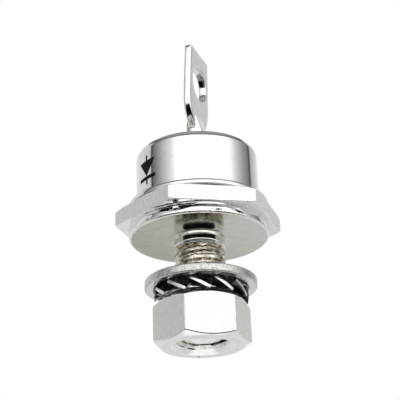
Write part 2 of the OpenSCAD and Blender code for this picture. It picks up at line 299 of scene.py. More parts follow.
def hex_angles(af, corner, per_flat, per_corner):
    """Angles round a hexagon, close together at its corners."""
    meet = flat_reach(af, corner)
    flat = np.linspace(HALF_FLAT - meet, HALF_FLAT + meet, per_flat)
    bend = np.linspace(HALF_FLAT + meet, 3 * HALF_FLAT - meet, per_corner + 2)[1:-1]
    sector = np.concatenate([flat, bend])
    return np.concatenate([sector + k * 2 * HALF_FLAT for k in range(6)])


def hex_end(reach, face_r, end_z, slope, edge, up):
    """Levels from a hexagon's end face over its turned corner to its flats, with softened edges."""
    sine, cosine = math.sin(slope), math.cos(slope)
    face_meet = face_r - edge * (1 - cosine) / sine
    side_drop = (edge + (reach - edge - face_r) * sine) / cosine
    centre_r = np.minimum(face_meet, reach - edge)
    centre_drop = np.maximum(side_drop, edge)
    upright = math.pi / 2
    levels = []
    for t in np.linspace(upright, upright - slope, 3):
        levels.append((centre_r + edge * math.cos(t), end_z + up * (edge * math.sin(t) - edge)))
    for t in np.linspace(upright - slope, 0, 6):
        levels.append((reach - edge + edge * math.cos(t), end_z + up * (edge * math.sin(t) - centre_drop)))
    return levels


def thread_radius(angles, z, outer, depth):
    """Radius of a right-hand thread's side at height z."""
    phase = np.mod(z / PITCH - angles / TURN + THREAD_PHASE, 1.0)
    from_crest = np.abs(phase - 0.5) * 2
    share = share_of(from_crest, CREST, FLANK)
    return outer - depth * share * share * (3 - 2 * share)


def build_stud_base():
    """Hexagon, seat, neck and threaded stud in one skin."""
    plate, flats, seat, thread, end_face, edge, wall, neck, under = range(9)
    lo, hi = box_mm("stud_base")
    af, floor, end = hi[1] - lo[1], hi[2], lo[2]
    top = box_mm("weld_ring")[0][2]
    corner_r = af / 2 / math.cos(HALF_FLAT)
    top_face = corner_r - HEX_TOP_DROP / math.tan(HEX_SLOPE)
    under_face = corner_r - HEX_UNDER_DROP / math.tan(HEX_SLOPE)
    angles = hex_angles(af, HEX_CORNER_R, 20, 6)
    reach = hex_radius(angles, af, HEX_CORNER_R)
    side = Side()
    side.put([(FLOOR_R - FLOOR_EDGE, floor), (FLOOR_R, floor - FLOOR_EDGE), (FLOOR_R, top)], plate)
    side.put(hex_end(reach, top_face, top, HEX_SLOPE, HEX_TOP_EDGE, 1), plate, last=flats)
    lower = hex_end(reach, under_face, SEAT_H, HEX_SLOPE, HEX_UNDER_EDGE, -1)
    side.put(lower[::-1], edge, last=under)
    side.put(arc((SEAT_R + ROOT_R, SEAT_H - ROOT_R), ROOT_R, 90, 180, 4), wall)
    side.put([(SEAT_R - depth, SEAT_H - LINE_DROP + rise) for depth, rise in LINE], wall)
    side.put([(SEAT_R, WALL_END)], edge)
    side.put(arc((SEAT_R - SEAT_EDGE, SEAT_EDGE), SEAT_EDGE, 0, -90, 7), edge, last=seat)
    side.put([(r, 0) for r in SEAT_ROWS], seat)
    side.put(NECK, neck)
    last = end + STUD_CHAMFER
    count = int((THREAD_TOP - last) / (PITCH / STEPS_PER_PITCH))
    for z in np.linspace(THREAD_TOP, last, count):
        fade = share_of(z, FADE_FROM, -THREAD_FADE)
        side.put([(thread_radius(angles, z, THREAD_R - CREST_WEAR * fade, THREAD_DEPTH * fade), z)], thread)
    for z in np.linspace(last, end, 9)[1:]:
        bite = thread_radius(angles, z, THREAD_R - CREST_WEAR, THREAD_DEPTH)
        side.put([(np.minimum(bite, THREAD_R - (last - z)), z)], thread)
    side.put([(THREAD_R - STUD_CHAMFER - STUD_END_RING, end)], end_face)
    return soften(skin("diode_stud_base", side.levels, angles, zones=side.zones), 50)


def build_nut():
    """Nut with turned corners, countersinks and a thread."""
    plate, flats, end_face, thread = range(4)
    lo, hi = box_mm("hex_nut")
    af, top, bottom = hi[1] - lo[1], hi[2], lo[2]
    face = af / 2 / math.cos(HALF_FLAT) - NUT_DROP / math.tan(NUT_SLOPE)
    angles = hex_angles(af, NUT_CORNER_R, 18, 8)
    reach = hex_radius(angles, af, NUT_CORNER_R)
    bore = THREAD_R + THREAD_PLAY
    sink = bore + NUT_SINK
    side = Side()
    side.put([(sink + TOP_FACE_INSET, top)], end_face)
    side.put(hex_end(reach, face, top, NUT_SLOPE, NUT_TOP_EDGE, 1), plate, last=flats)
    side.put(hex_end(reach, face, bottom, NUT_SLOPE, NUT_UNDER_EDGE, -1)[::-1], plate, last=end_face)
    side.put([(sink + out, bottom + rise) for out, rise in LOW_MOUTH], plate)
    for z in np.linspace(bottom + NUT_MOUTH, top - NUT_MOUTH, NUT_STEPS):
        inside = min(z - bottom, top - z)
        bite = thread_radius(angles, z, bore - CREST_WEAR, THREAD_DEPTH)
        side.put([(np.maximum(bite, sink - inside), z)], plate if inside < NUT_SINK else thread)
    side.put([(sink + out, top - drop) for out, drop in TOP_MOUTH], plate)
    return soften(skin("diode_hex_nut", side.levels, angles, loop=True, zones=side.zones), 50)


def build_cap():
    """Can with a crown, a turned-out flange at its foot and an eyelet at its top."""
    lo, hi = box_mm("cap")
    bottom, top, flange = lo[2], hi[2], hi[0]
    deck = bottom + CAP_WALL
    inner = CAP_R - CAP_WALL
    inner_crown = CROWN_R - CAP_WALL
    wall_top = top - CROWN_R
    rows = [(inner, bottom), (flange - FLANGE_FOOT_EDGE, bottom)]
    foot_centre = (flange - FLANGE_FOOT_EDGE, bottom + FLANGE_FOOT_EDGE)
    rows += arc(foot_centre, FLANGE_FOOT_EDGE, -90, 0, 4)[1:]
    rows += arc((flange - FLANGE_EDGE, deck - FLANGE_EDGE), FLANGE_EDGE, 0, 90, 7)
    rows += arc((CAP_R + FLANGE_ROOT_R, deck + FLANGE_ROOT_R), FLANGE_ROOT_R, 270, 180, 6)
    rows += [(CAP_R, deck + LOW_ROW), (CAP_R, wall_top - HIGH_ROW)]
    rows += arc((CAP_R - CROWN_R, wall_top), CROWN_R, 0, 90, 12)
    rows += [(TOP_ROW_R, top), (EYELET_R + EYELET_LIP + LIP_ROW, top)]
    rows += arc((EYELET_R + EYELET_LIP, top - EYELET_LIP), EYELET_LIP, 90, 180, 5)
    rows += [(EYELET_R, top - EYELET_L), (EYELET_R + CAP_WALL, top - EYELET_L)]
    rows += [(EYELET_R + CAP_WALL, top - CAP_WALL)]
    rows += arc((inner - inner_crown, top - CAP_WALL - inner_crown), inner_crown, 90, 0, 4)
    return soften(skin("diode_cap", rows, even_angles(180), loop=True), 40)


def build_weld_ring():
    """Ring between the base and the cap's flange."""
    lo, hi = box_mm("weld_ring")
    inner, outer = FLOOR_R + RING_PLAY, hi[0] - RING_EDGE
    rows = [(inner, lo[2]), (outer, lo[2])]
    rows += arc((outer, lo[2] + RING_EDGE), RING_EDGE, -90, 0, 3)[1:]
    rows += arc((outer, hi[2] - RING_EDGE), RING_EDGE, 0, 90, 3)
    rows += [(inner, hi[2])]
    return soften(skin("diode_weld_ring", rows, even_angles(150), loop=True), 40)


def build_flat_washer():
    """Stamped washer with painted shade underneath, where the lock washer bears on it."""
    rim, sheet, dark = range(3)
    lo, hi = box_mm("flat_washer")
    bottom, top, outer = lo[2], hi[2], hi[0]
    soft_r, hole = outer - WASHER_EDGE, WASHER_HOLE_R + WASHER_HOLE_EDGE
    side = Side()
    side.put([(hole, top), (outer - WASHER_ROW, top)], sheet)
    side.put([(soft_r, top)], rim)
    side.put(arc((soft_r, top - WASHER_EDGE), WASHER_EDGE, 90, 0, 5)[1:], rim)
    side.put(arc((soft_r, bottom + WASHER_EDGE), WASHER_EDGE, 0, -90, 5), rim, last=sheet)
    # Painted shade: the underside beneath the lock washer is painted dark
    side.put([(LOCK_R + PAINTED_SHADE_PAST_LOCK, bottom)], dark)
    side.put([(hole, bottom)], rim)
    side.put([(WASHER_HOLE_R, bottom + WASHER_HOLE_EDGE), (WASHER_HOLE_R, top - WASHER_HOLE_EDGE)], rim)
    return soften(skin("diode_flat_washer", side.levels, even_angles(160), loop=True, zones=side.zones), 45)


def tooth_grid(aim, start, outer, mid):
    """Rows of (place, normal) over the middle sheet of a tooth that twists from its root to its tip."""
    along = np.array([math.cos(aim), math.sin(aim), 0])
    side = np.array([-math.sin(aim), math.cos(aim), 0])
    grid = []
    for u in np.linspace(0, 1, TOOTH_STEPS):
        twist = ROOT_TWIST + (TIP_TWIST - ROOT_TWIST) * u
        across = side * math.cos(twist) - np.array([0, 0, math.sin(twist)])
        normal = np.array([0, 0, math.cos(twist)]) + side * math.sin(twist)
        reach = start + (outer - start) * u
        width = min(TOOTH_W, (TURN * reach / LOCK_TEETH - SLOT_W) / math.cos(twist))
        row = []
        for v in np.linspace(-0.5, 0.5, TOOTH_STEPS):
            tip = math.sqrt(outer ** 2 - (v * TOOTH_W * math.cos(TIP_TWIST)) ** 2) - TIP_INSET
            out = start + (tip - start) * u
            row.append((along * out + across * v * width + np.array([0, 0, mid]), normal))
        grid.append(row)
    return grid


def build_lock_washer():
    """Ring with twisted teeth, its faces painted dark as painted shade and its sheared edges bright."""
    # The dark zone is painted shade on the plated faces; the bright zone is the plate's own colour
    dark, bright = range(2)
    lo, hi = box_mm("lock_washer")
    mid, outer = (lo[2] + hi[2]) / 2, hi[0]
    points, faces, marks = [], [], []

    def add_slab(grid):
        """Closed sheet from a grid of (middle, normal) rows."""
        base = len(points)
        rows, cols = len(grid), len(grid[0])
        for side in (0.5, -0.5):
            for row in grid:
                for place, normal in row:
                    points.append(place + side * LOCK_T * normal)
        flat = rows * cols
        for i in range(rows - 1):
            for j in range(cols - 1):
                a, b = base + i * cols + j, base + (i + 1) * cols + j
                faces.append((a, a + 1, b + 1, b))
                faces.append((a + flat, b + flat, b + flat + 1, a + flat + 1))
                marks.extend([dark, dark])
        rim = [(0, j) for j in range(cols)] + [(i, cols - 1) for i in range(1, rows)]
        rim += [(rows - 1, j) for j in range(cols - 2, -1, -1)] + [(i, 0) for i in range(rows - 2, 0, -1)]
        for (i, j), (p, q) in zip(rim, rim[1:] + rim[:1]):
            a, b = base + i * cols + j, base + p * cols + q
            faces.append((a, b, b + flat, a + flat))
            marks.append(bright)

    for k in range(LOCK_TEETH):
        add_slab(tooth_grid(LOCK_TURN + k * TURN / LOCK_TEETH, LOCK_RING_R - TOOTH_ROOT, outer, mid))
    teeth = add_mesh("diode_lock_teeth", points, faces, marks)
    top, bottom = mid + LOCK_T / 2, mid - LOCK_T / 2
    rows = [(LOCK_HOLE_R, top), (LOCK_RING_R, top), (LOCK_RING_R, bottom), (LOCK_HOLE_R, bottom)]
    zones = [dark, bright, dark, bright]
    ring = skin("diode_lock_washer", rows, even_angles(144), loop=True, zones=zones)
    for mesh in (ring.data, teeth.data):
        mesh.materials.append(None)
        mesh.materials.append(None)
    combine(ring, teeth, "UNION")
    worn = ring.modifiers.new("worn edges", "BEVEL")
    worn.width, worn.segments, worn.angle_limit = LOCK_EDGE * MM, 2, math.radians(50)
    worn.material = bright
    settle(ring)
    return soften(ring, 45)


def build_lug():
    """Round lead that is beaten flat into a leaning blade with one hole."""
    face_zone, edge_zone = range(2)
    bottom = box_mm("terminal_lug")[0][2]
    cap_top = box_mm("cap")[1][2]
    top = cap_top + LUG_H
    shoulder = top - LUG_SHOULDER
    fade = cap_top + ROD_OUT
    thin = LUG_T / 2
    broad = NARROW + (math.pi / 2 - NARROW) * np.linspace(0, 1, 40)[1:] ** 1.3
    quarter = np.concatenate([np.linspace(0, NARROW, 18), broad])
    half = np.concatenate([quarter, math.pi - quarter[-2::-1]])
    angles = np.concatenate([half, -half[-2:0:-1]])
    c, s = np.abs(np.cos(angles)), np.abs(np.sin(angles))

    def half_width(z):
        """Half the blade's width at height z, which passes softly into the lead's radius."""
        down = max(shoulder + SHOULDER_RISE - z, 0)
        drop = min(down, SHOULDER_R * math.sin(SHOULDER_STEEP))
        wide = math.sqrt(SHOULDER_R ** 2 - drop ** 2) - (SHOULDER_R - LUG_W / 2)
        wide -= (down - drop) * math.tan(SHOULDER_STEEP)
        if z > shoulder:
            wide += math.sqrt(SIDE_R ** 2 - (z - shoulder) ** 2) - SIDE_R
        return ROD_R - BLEND_INSET + BLEND * np.logaddexp(0, (wide - ROD_R) / BLEND)

    def section(z):
        """Polar radius at height z of the lead with its beaten flats and of the blade above it."""
        share = share_of(z, fade, FADE_L)
        lead = ROD_R + (FADE_R - ROD_R) * share
        flat = FLAT_START - (FLAT_START - FLAT_SHARE * thin) * share
        beaten = (lead ** -FLAT_POWER + (s / flat) ** FLAT_POWER) ** (-1 / FLAT_POWER)
        wide = half_width(z)
        bend = min(EDGE_SHARE * thin, wide)
        cx, cy = wide - bend, thin - bend
        blunt = np.minimum(wide / np.maximum(c, TINY), thin / np.maximum(s, TINY))
        along = cx * c + cy * s
        corner = along + np.sqrt(np.maximum(bend ** 2 - (cx * cx + cy * cy - along ** 2), 0))
        return np.maximum(beaten, np.where((blunt * c > cx) & (blunt * s > cy), corner, blunt))

    soft_top = top - LUG_EDGE
    heights = np.concatenate([
        [bottom, bottom + ROD_EDGE],
        np.linspace(cap_top - ROWS_INSIDE, fade - ROWS_LEAD_END, 5),
        np.linspace(fade - ROWS_FADE_START, shoulder, 64),
        np.linspace(shoulder, soft_top, 20)[1:],
        top - LUG_EDGE * (1 - np.sin(np.linspace(0, math.pi / 2, 5)[1:])),
    ])
    levels = []
    for z in heights:
        near_top = share_of(z, soft_top, LUG_EDGE)
        inset = LUG_EDGE * (1 - math.sqrt(1 - near_top ** 2)) + (ROD_EDGE if z == bottom else 0)
        levels.append((section(z) - inset, z))
    lug = skin("diode_terminal_lug", levels, angles)

    flare, soft_r = LUG_HOLE_R + DRILL_FLARE, LUG_HOLE_R + HOLE_EDGE
    rows = [(flare, -DRILL_REACH), (flare, -thin - DRILL_CLEAR)]
    rows += arc((soft_r, -thin + HOLE_EDGE), HOLE_EDGE, 240, 180, 4)
    rows += arc((soft_r, thin - HOLE_EDGE), HOLE_EDGE, 180, 120, 4)
    rows += [(flare, thin + DRILL_CLEAR), (flare, DRILL_REACH)]
    drill = skin("drill", rows, even_angles(72))
    hole_z = (top - LUG_HOLE_DROP) * MM
    drill.data.transform(Matrix.Translation((0, 0, hole_z)) @ Matrix.Rotation(math.pi / 2, 4, "X"))
    combine(lug, drill, "DIFFERENCE")
    clean(lug.data)

    face_from = (fade + FACE_START * FADE_L) * MM
    for face in lug.data.polygons:
        is_face = abs(face.normal.y) > FACE_NORMAL and face.center.z > face_from
        face.material_index = face_zone if is_face else edge_zone
    for v in lug.data.vertices:
        rise = v.co.z - fade * MM
        lean = LUG_LEAN * share_of(rise / MM, -LEAN_BEND / 2, LEAN_BEND)
        y = v.co.y
        v.co.y = y * math.cos(lean) - rise * math.sin(lean)
        v.co.z = fade * MM + y * math.sin(lean) + rise * math.cos(lean)
    lug.data.transform(Matrix.Rotation(LUG_TURN, 4, "Z"))
    return soften(lug, 40)


def build_mark():
    """Printed polarity sign on the can: lead, triangle, bar and lead, a hair proud of the plate."""
    centre_z = box_mm("cap")[1][2] - MARK_DROP
    flat = MARK_STEPS * 2
    points, faces = [], []
    for half, low_mid, low_side, high in MARK_SHAPES:
        base = len(points)
        for r in (CAP_R - MARK_SUNK, CAP_R + MARK_PROUD):
            for u in np.linspace(-half, half, MARK_STEPS):
                turn = MARK_TURN + u / CAP_R
                low = low_mid + (low_side - low_mid) * abs(u) / half
                for v in (low, high):
                    points.append((r * math.cos(turn), r * math.sin(turn), centre_z + v))
        for i in range(MARK_STEPS - 1):
            a = base + 2 * i
            faces += [(a, a + 2, a + 3, a + 1), (a + flat, a + 1 + flat, a + 3 + flat, a + 2 + flat)]
            faces += [(a, a + flat, a + 2 + flat, a + 2), (a + 1, a + 3, a + 3 + flat, a + 1 + flat)]
        e = base + flat - 2
        faces += [(base, base + 1, base + 1 + flat, base + flat), (e, e + flat, e + 1 + flat, e + 1)]
    return add_mesh("diode_polarity_mark", points, faces)


# Finishes

# Noise of a finish: its scale per metre, detail and roughness, then its bump's strength and its depth in
# millimetres. Lines are scaled round the axis and along it as well
Texture = namedtuple("Texture", "scale detail rough strength depth lines", defaults=(0, 0, None))


class Nodes:
    """Short calls that add shader nodes to a tree."""

    def __init__(self, tree):
        self.tree = tree

    def feed(self, socket, value):
        """Links another node's output to a socket, or sets a constant on it."""
        if hasattr(value, "links"):
            self.tree.links.new(value, socket)
        else:
            socket.default_value = value

    def node(self, kind, values=(), **settings):
        made = self.tree.nodes.new(kind)
        for key, value in settings.items():
            setattr(made, key, value)
        for key, value in dict(values).items():
            self.feed(made.inputs[key], value)
        return made

    def calc(self, how, a, b=0.0):
        return self.node("ShaderNodeMath", {0: a, 1: b}, operation=how).outputs["Value"]

    def shade(self, value, stops):
        """Colour ramp with stops of (place, colour)."""
        made = self.node("ShaderNodeValToRGB", {"Fac": value})
        ramp = made.color_ramp
        while len(ramp.elements) < len(stops):
            ramp.elements.new(0.5)
        for element, (place, colour) in zip(ramp.elements, stops):
            element.position = place
            element.color = (*colour, 1)
        return made.outputs["Color"]


class Finish(Nodes):
    """Material with a principled shader and short calls for its textures."""

    def __init__(self, name):
        self.mat = bpy.data.materials.new(name)
        self.mat.use_nodes = True
        super().__init__(self.mat.node_tree)
        self.shader = self.tree.nodes["Principled BSDF"]
        self.place = self.node("ShaderNodeTexCoord").outputs["Object"]

    def noise(self, scale, detail, rough=0.5, place=None):
        values = {"Vector": place or self.place, "Scale": scale, "Detail": detail, "Roughness": rough}
        return self.node("ShaderNodeTexNoise", values).outputs["Fac"]

    def texture(self, kind):
        place = self.round_place(*kind.lines) if kind.lines else None
        return self.noise(kind.scale, kind.detail, kind.rough, place)

    def spread(self, value, low, high, a=0.3, b=0.7):
        """Maps values between a and b to those between low and high."""
        values = {"Value": value, "From Min": a, "From Max": b, "To Min": low, "To Max": high}
        return self.node("ShaderNodeMapRange", values).outputs["Result"]

    def parts(self):
        return self.node("ShaderNodeSeparateXYZ", {"Vector": self.place}).outputs

    def vector(self, how, a, b=(0, 0, 0)):
        return self.node("ShaderNodeVectorMath", {0: a, 1: b}, operation=how).outputs

    def radius(self):
        """Distance from the axis."""
        x, y = self.parts()[:2]
        square = self.calc("ADD", self.calc("MULTIPLY", x, x), self.calc("MULTIPLY", y, y))
        return self.calc("POWER", square, 0.5)

    def azimuth(self):
        """Angle round the axis."""
        x, y = self.parts()[:2]
        return self.calc("ARCTAN2", y, x)

    def round_place(self, across, along):
        """Coordinates that run round the axis in x and along it in y, for drawn lines."""
        turn = self.calc("MULTIPLY", self.azimuth(), across)
        rise = self.calc("MULTIPLY", self.parts()["Z"], along)
        return self.node("ShaderNodeCombineXYZ", {"X": turn, "Y": rise}).outputs["Vector"]

    def turned_place(self, across, along):
        """Coordinates for turning marks: the distance from the axis in x, a slow turn in y."""
        out = self.calc("MULTIPLY", self.radius(), across)
        turn = self.calc("MULTIPLY", self.azimuth(), along)
        return self.node("ShaderNodeCombineXYZ", {"X": out, "Y": turn}).outputs["Vector"]

    def bump(self, heights):
        """Chain of bumps from (height, strength, distance in millimetres)."""
        normal = None
        for height, strength, distance in heights:
            values = {"Height": height, "Strength": strength, "Distance": distance * MM}
            if normal is not None:
                values["Normal"] = normal
            normal = self.node("ShaderNodeBump", values).outputs["Normal"]
        self.feed(self.shader.inputs["Normal"], normal)

    def set(self, **values):
        """Sets the shader's sockets by their names and gives the material."""
        for key, value in values.items():
            self.feed(self.shader.inputs[key.replace("_", " ")], value)
        return self.mat


def grey(level, warm=0.0):
    """Grey that is a little warm."""
    return (level * (1 + warm), level, level * (1 - 2 * warm))


def grained(name, tones, gloss, marks, grain, wave=None, metallic=1.0, **more):
    """Finish whose marks set its tone and whose grain sets its roughness, with a coarser wave or none."""
    f = Finish(name)
    spots, fine = f.texture(marks), f.texture(grain)
    bumps = [(spots, marks.strength, marks.depth), (fine, grain.strength, grain.depth)]
    if wave:
        bumps.insert(0, (f.texture(wave), wave.strength, wave.depth))
    f.bump([row for row in bumps if row[1] > 0])
    tone = f.shade(spots, tones)
    return f.set(Base_Color=tone, Metallic=metallic, Roughness=f.spread(fine, *gloss), **more)


def plain(name, dark, light, rough, **more):
    """Even finish between two tones."""
    gloss = (rough - 0.06, rough + 0.08)
    marks, grain = Texture(900, 4, 0.5), Texture(4000, 4, 0.6, 0.3, 0.006)
    return grained(name, [(0.3, dark), (0.7, light)], gloss, marks, grain, **more)


def bright_plate(name, level):
    """Bright nickel with a slow wave and fine darker pits."""
    pit, dull, clear = grey(level * 0.84, 0.02), grey(level * 0.95, 0.01), grey(level, 0.01)
    return grained(
        name,
        tones=[(0.28, pit), (0.40, dull), (0.75, clear)],
        gloss=(0.06, 0.14),
        marks=Texture(1500, 5, 0.65),
        grain=Texture(5200, 4, 0.6, 0.2, 0.004),
        wave=Texture(260, 2, 0.5, 0.25, 0.035),
    )


def drawn_flat(name, tint, dark):
    """Flats of drawn bar with short lines along the axis."""
    return grained(
        name,
        tones=[(0.34, tuple(v * dark for v in tint)), (0.6, tint)],
        gloss=(0.40, 0.54),
        marks=Texture(1.0, 4, 0.7, 0.35, 0.02, lines=(85, 1100)),
        grain=Texture(4200, 4, 0.6, 0.25, 0.006),
    )


def rolled_thread(name, tones):
    """Spotted thread."""
    marks, grain = Texture(1300, 5, 0.65, 0.35, 0.03), Texture(4200, 4, 0.6, 0.25, 0.006)
    return grained(name, tones, (0.07, 0.15), marks, grain)


def turned_seat():
    """Turned face with painted shade: a little lighter at its right and darker at its back."""
    lighter_right, darker_back = 28.0, 26.0
    f = Finish("turned seat")
    rings = f.noise(1.0, 4, 0.6, f.turned_place(9000, 0.6))
    grain = f.noise(5000, 4, 0.6)
    f.bump([(rings, 0.2, 0.003), (grain, 0.2, 0.003)])
    x, y = f.parts()[:2]
    # Painted shade: the tone runs lighter to the right and darker to the back
    painted_shade_slant = f.calc("SUBTRACT", f.calc("MULTIPLY", x, lighter_right), f.calc("MULTIPLY", y, darker_back))
    cloud = f.spread(f.noise(900, 4), 0.42, 0.58)
    tone = f.shade(f.calc("ADD", cloud, painted_shade_slant), [(0.25, (0.42, 0.41, 0.35)), (0.75, (0.60, 0.61, 0.565))])
    return f.set(Base_Color=tone, Metallic=1.0, Roughness=f.spread(grain, 0.10, 0.17))


def turned_neck():
    """Smooth spotted collar with fine turning lines."""
    f = Finish("turned neck")
    spots, rings = f.noise(1000, 4, 0.6), f.noise(1.0, 3, 0.6, f.round_place(4, 5200))
    f.bump([(spots, 0.2, 0.015), (rings, 0.2, 0.004)])
    dark, middle, light = (0.58, 0.53, 0.44), (0.82, 0.79, 0.72), (0.90, 0.88, 0.83)
    tone = f.shade(spots, [(0.30, dark), (0.45, middle), (0.66, light)])
    return f.set(Base_Color=tone, Metallic=1.0, Roughness=f.spread(spots, 0.05, 0.1))


def nicked_wall():
    """Seat's wall with a few nicks, whose ragged inside is tilted by a bump that grows with the height."""
    f = Finish("nicked wall")
    place, z = f.round_place(SEAT_R, 1 / MM), f.parts()["Z"]
    ragged = f.spread(f.noise(1900, 4, 0.6), -0.8, 0.8)
    wave, grain = f.noise(1300, 4, 0.6), f.noise(5000, 4, 0.6)
    bumps = [(wave, 0.4, 0.02), (grain, 0.2, 0.004)]
    for turn, rise, wide, tall in NICKS:
        off = f.vector("SUBTRACT", place, (math.radians(turn) * SEAT_R, rise, 0))["Vector"]
        scaled = f.vector("MULTIPLY", off, (1 / wide, 1 / tall, 0))["Vector"]
        away = f.calc("ADD", f.vector("LENGTH", scaled)["Value"], ragged)
        inside = f.spread(away, 1.0, 0.0, 0.8, 1.1)
        height = f.calc("MULTIPLY", inside, f.calc("SUBTRACT", z, rise * MM))
        bumps.append((height, 1.0, NICK_TILT / MM))
    f.bump(bumps)
    tone = f.shade(grain, [(0.3, grey(0.80, 0.01)), (0.6, grey(0.88, 0.01))])
    return f.set(Base_Color=tone, Metallic=1.0, Roughness=f.spread(grain, 0.06, 0.12))


def pressed_underside():
    """Underside of the hexagon: smooth on one side, and less metallic and rougher on the other as painted
    light.
    """
    painted_light_right = 160.0
    painted_light_span = (-0.2, 0.4)
    f = Finish("hexagon underside")
    patches = f.spread(f.noise(1300, 4, 0.6), -0.5, 0.5)
    # Painted light: towards the right the face turns less metallic and rougher, so that it shows lighter
    painted_light_share = f.calc("ADD", f.calc("MULTIPLY", f.parts()["X"], painted_light_right), patches)
    grain = f.noise(4000, 4, 0.6)
    f.bump([(f.noise(1800, 4, 0.6), 0.5, 0.03), (grain, 0.3, 0.006)])
    tone = f.shade(grain, [(0.3, grey(0.84, 0.01)), (0.7, grey(0.94, 0.0))])
    metallic, rough = f.spread(painted_light_share, 1.0, 0.45, *painted_light_span), f.spread(painted_light_share, 0.1, 0.5, *painted_light_span)
    return f.set(Base_Color=tone, Metallic=metallic, Roughness=rough)


def wear(obj, *finishes):
    """Puts the finishes in the material slots. Clearing the slots first would reset the faces' zones."""
    slots = obj.data.materials
    while len(slots) > len(finishes):
        slots.pop()
    for i, finish in enumerate(finishes):
        if i < len(slots):
            slots[i] = finish
        else:
            slots.append(finish)


# The pieces, whose finishes stand in the order of their zones

stud_finishes = (
    bright_plate("bright nickel", 0.88),
    drawn_flat("drawn hexagon flats", (1.0, 1.0, 0.98), 0.82),
    turned_seat(),
    rolled_thread(
        "rolled thread",
        tones=[(0.32, (0.20, 0.17, 0.12)), (0.46, (0.44, 0.40, 0.32)), (0.62, (0.80, 0.77, 0.68))],
    ),
    plain("stud end", grey(0.82, 0.01), grey(0.97), 0.2),
    grained(
        "nicked edge",
        tones=[(0.3, grey(0.72, 0.02)), (0.6, grey(0.88, 0.01))],
        gloss=(0.06, 0.13),
        marks=Texture(2400, 4, 0.65, 1.0, 0.055),
        grain=Texture(5000, 4, 0.6, 0.3, 0.006),
    ),
    nicked_wall(),
    turned_neck(),
    pressed_underside(),
)
ring_finishes = (plain("weld ring steel", grey(0.56, 0.01), grey(0.68, 0.01), 0.14),)
cap_finishes = (bright_plate("can nickel", 0.81),)
lug_finishes = (
    grained(
        "satin nickel",
        tones=[(0.3, grey(0.86, 0.015)), (0.7, grey(0.92, 0.010))],
        gloss=(0.26, 0.36),
        marks=Texture(700, 4, 0.5, 0.15, 0.015),
        grain=Texture(6000, 4, 0.6, 0.2, 0.003),
    ),
    grained(
        "beaten edge",
        tones=[(0.3, grey(0.76, 0.015)), (0.6, grey(0.88, 0.01))],
        gloss=(0.06, 0.14),
        marks=Texture(900, 3, 0.55, 0.35, 0.04),
        grain=Texture(5200, 4, 0.6, 0.2, 0.004),
    ),
)
washer_finishes = (
    grained(
        "stamped washer rim",
        tones=[(0.34, grey(0.34, 0.03)), (0.54, grey(0.68, 0.02))],
        gloss=(0.28, 0.42),
        marks=Texture(3200, 5, 0.7),
        grain=Texture(3200, 5, 0.7, 0.6, 0.02),
        wave=Texture(1.0, 5, 0.7, 0.6, 0.05, lines=(26, 900)),
    ),
    grained(
        "plated sheet",
        tones=[(0.3, grey(0.70, 0.02)), (0.7, grey(0.80, 0.015))],
        gloss=(0.22, 0.36),
        marks=Texture(800, 4, 0.5),
        grain=Texture(3000, 5, 0.65, 0.3, 0.01),
    ),
    # Painted shade: the dark tone under the lock washer stands in for its shadow
    plain("washer underside painted shade", grey(0.10, 0.02), grey(0.20, 0.02), 0.26),
)
# The faces' near black tone is painted shade
lock_finishes = (
    plain("lock washer face painted shade", grey(0.05, 0.02), grey(0.11, 0.02), 0.3),
    grained(
        "lock washer edge",
        tones=[(0.3, grey(0.80, 0.02)), (0.7, grey(0.95, 0.01))],
        gloss=(0.22, 0.36),
        marks=Texture(1200, 4, 0.5),
        grain=Texture(3600, 5, 0.65, 0.3, 0.008),
    ),
)
nut_finishes = (
    bright_plate("nut nickel", 0.97),
    drawn_flat("drawn nut flats", (0.98, 0.985, 0.945), 0.80),
    plain("nut face", grey(0.80, 0.01), grey(0.88, 0.01), 0.2),
    rolled_thread(
        "tapped thread",
        tones=[(0.30, grey(0.45, 0.03)), (0.45, grey(0.70, 0.02)), (0.62, grey(0.86, 0.01))],
    ),
)
ink = plain("marking ink", grey(0.004), grey(0.012), 0.6, metallic=0.0, Specular_IOR_Level=0.05)

built = [
    (build_stud_base(), "stud_base", "bright_nickel", stud_finishes),
    (build_weld_ring(), "weld_ring", "plated_steel", ring_finishes),
    (build_cap(), "cap", "bright_nickel", cap_finishes),
    (build_lug(), "terminal_lug", "satin_nickel", lug_finishes),
    (build_flat_washer(), "flat_washer", "plated_steel", washer_finishes),
    (build_lock_washer(), "lock_washer", "blackened_steel", lock_finishes),
    (build_nut(), "hex_nut", "bright_nickel", nut_finishes),
]
for obj, node, slot, finishes in built:
    wear(obj, *finishes)
    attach(obj, "root")
    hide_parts(node)
mark = build_mark()
wear(mark, ink)
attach(mark, "root")

solder = plain("solder", (0.48, 0.48, 0.51), (0.64, 0.64, 0.67), 0.36)
molybdenum = plain("molybdenum", (0.40, 0.41, 0.43), (0.52, 0.53, 0.55), 0.34)
glass = grained(
    "sealing glass",
    tones=[(0.3, (0.030, 0.042, 0.042)), (0.7, (0.060, 0.082, 0.082))],
    gloss=(0.04, 0.12),
    marks=Texture(700, 4, 0.5),
    grain=Texture(2600, 5, 0.65, 0.2, 0.006),
    metallic=0.0,
    IOR=1.5,
    Coat_Weight=0.5,
)
inner_finish = {
    "glass_seal": glass,
    "inner_strap": plain("copper strap", (0.62, 0.33, 0.20), (0.80, 0.48, 0.33), 0.26),
    "strap_solder": solder,
    "upper_disc": molybdenum,
    "upper_solder": solder,
    "silicon_die": plain("silicon", (0.16, 0.17, 0.20), (0.24, 0.25, 0.29), 0.2, metallic=0.0),
    "die_coating": plain("silicone rubber", (0.76, 0.76, 0.74), (0.88, 0.88, 0.86), 0.5, metallic=0.0),
    "die_solder": solder,
    "lower_disc": molybdenum,
    "base_solder": solder,
}
for node, finish in inner_finish.items():
    wear(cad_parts[node], finish)


# Camera, light and floor

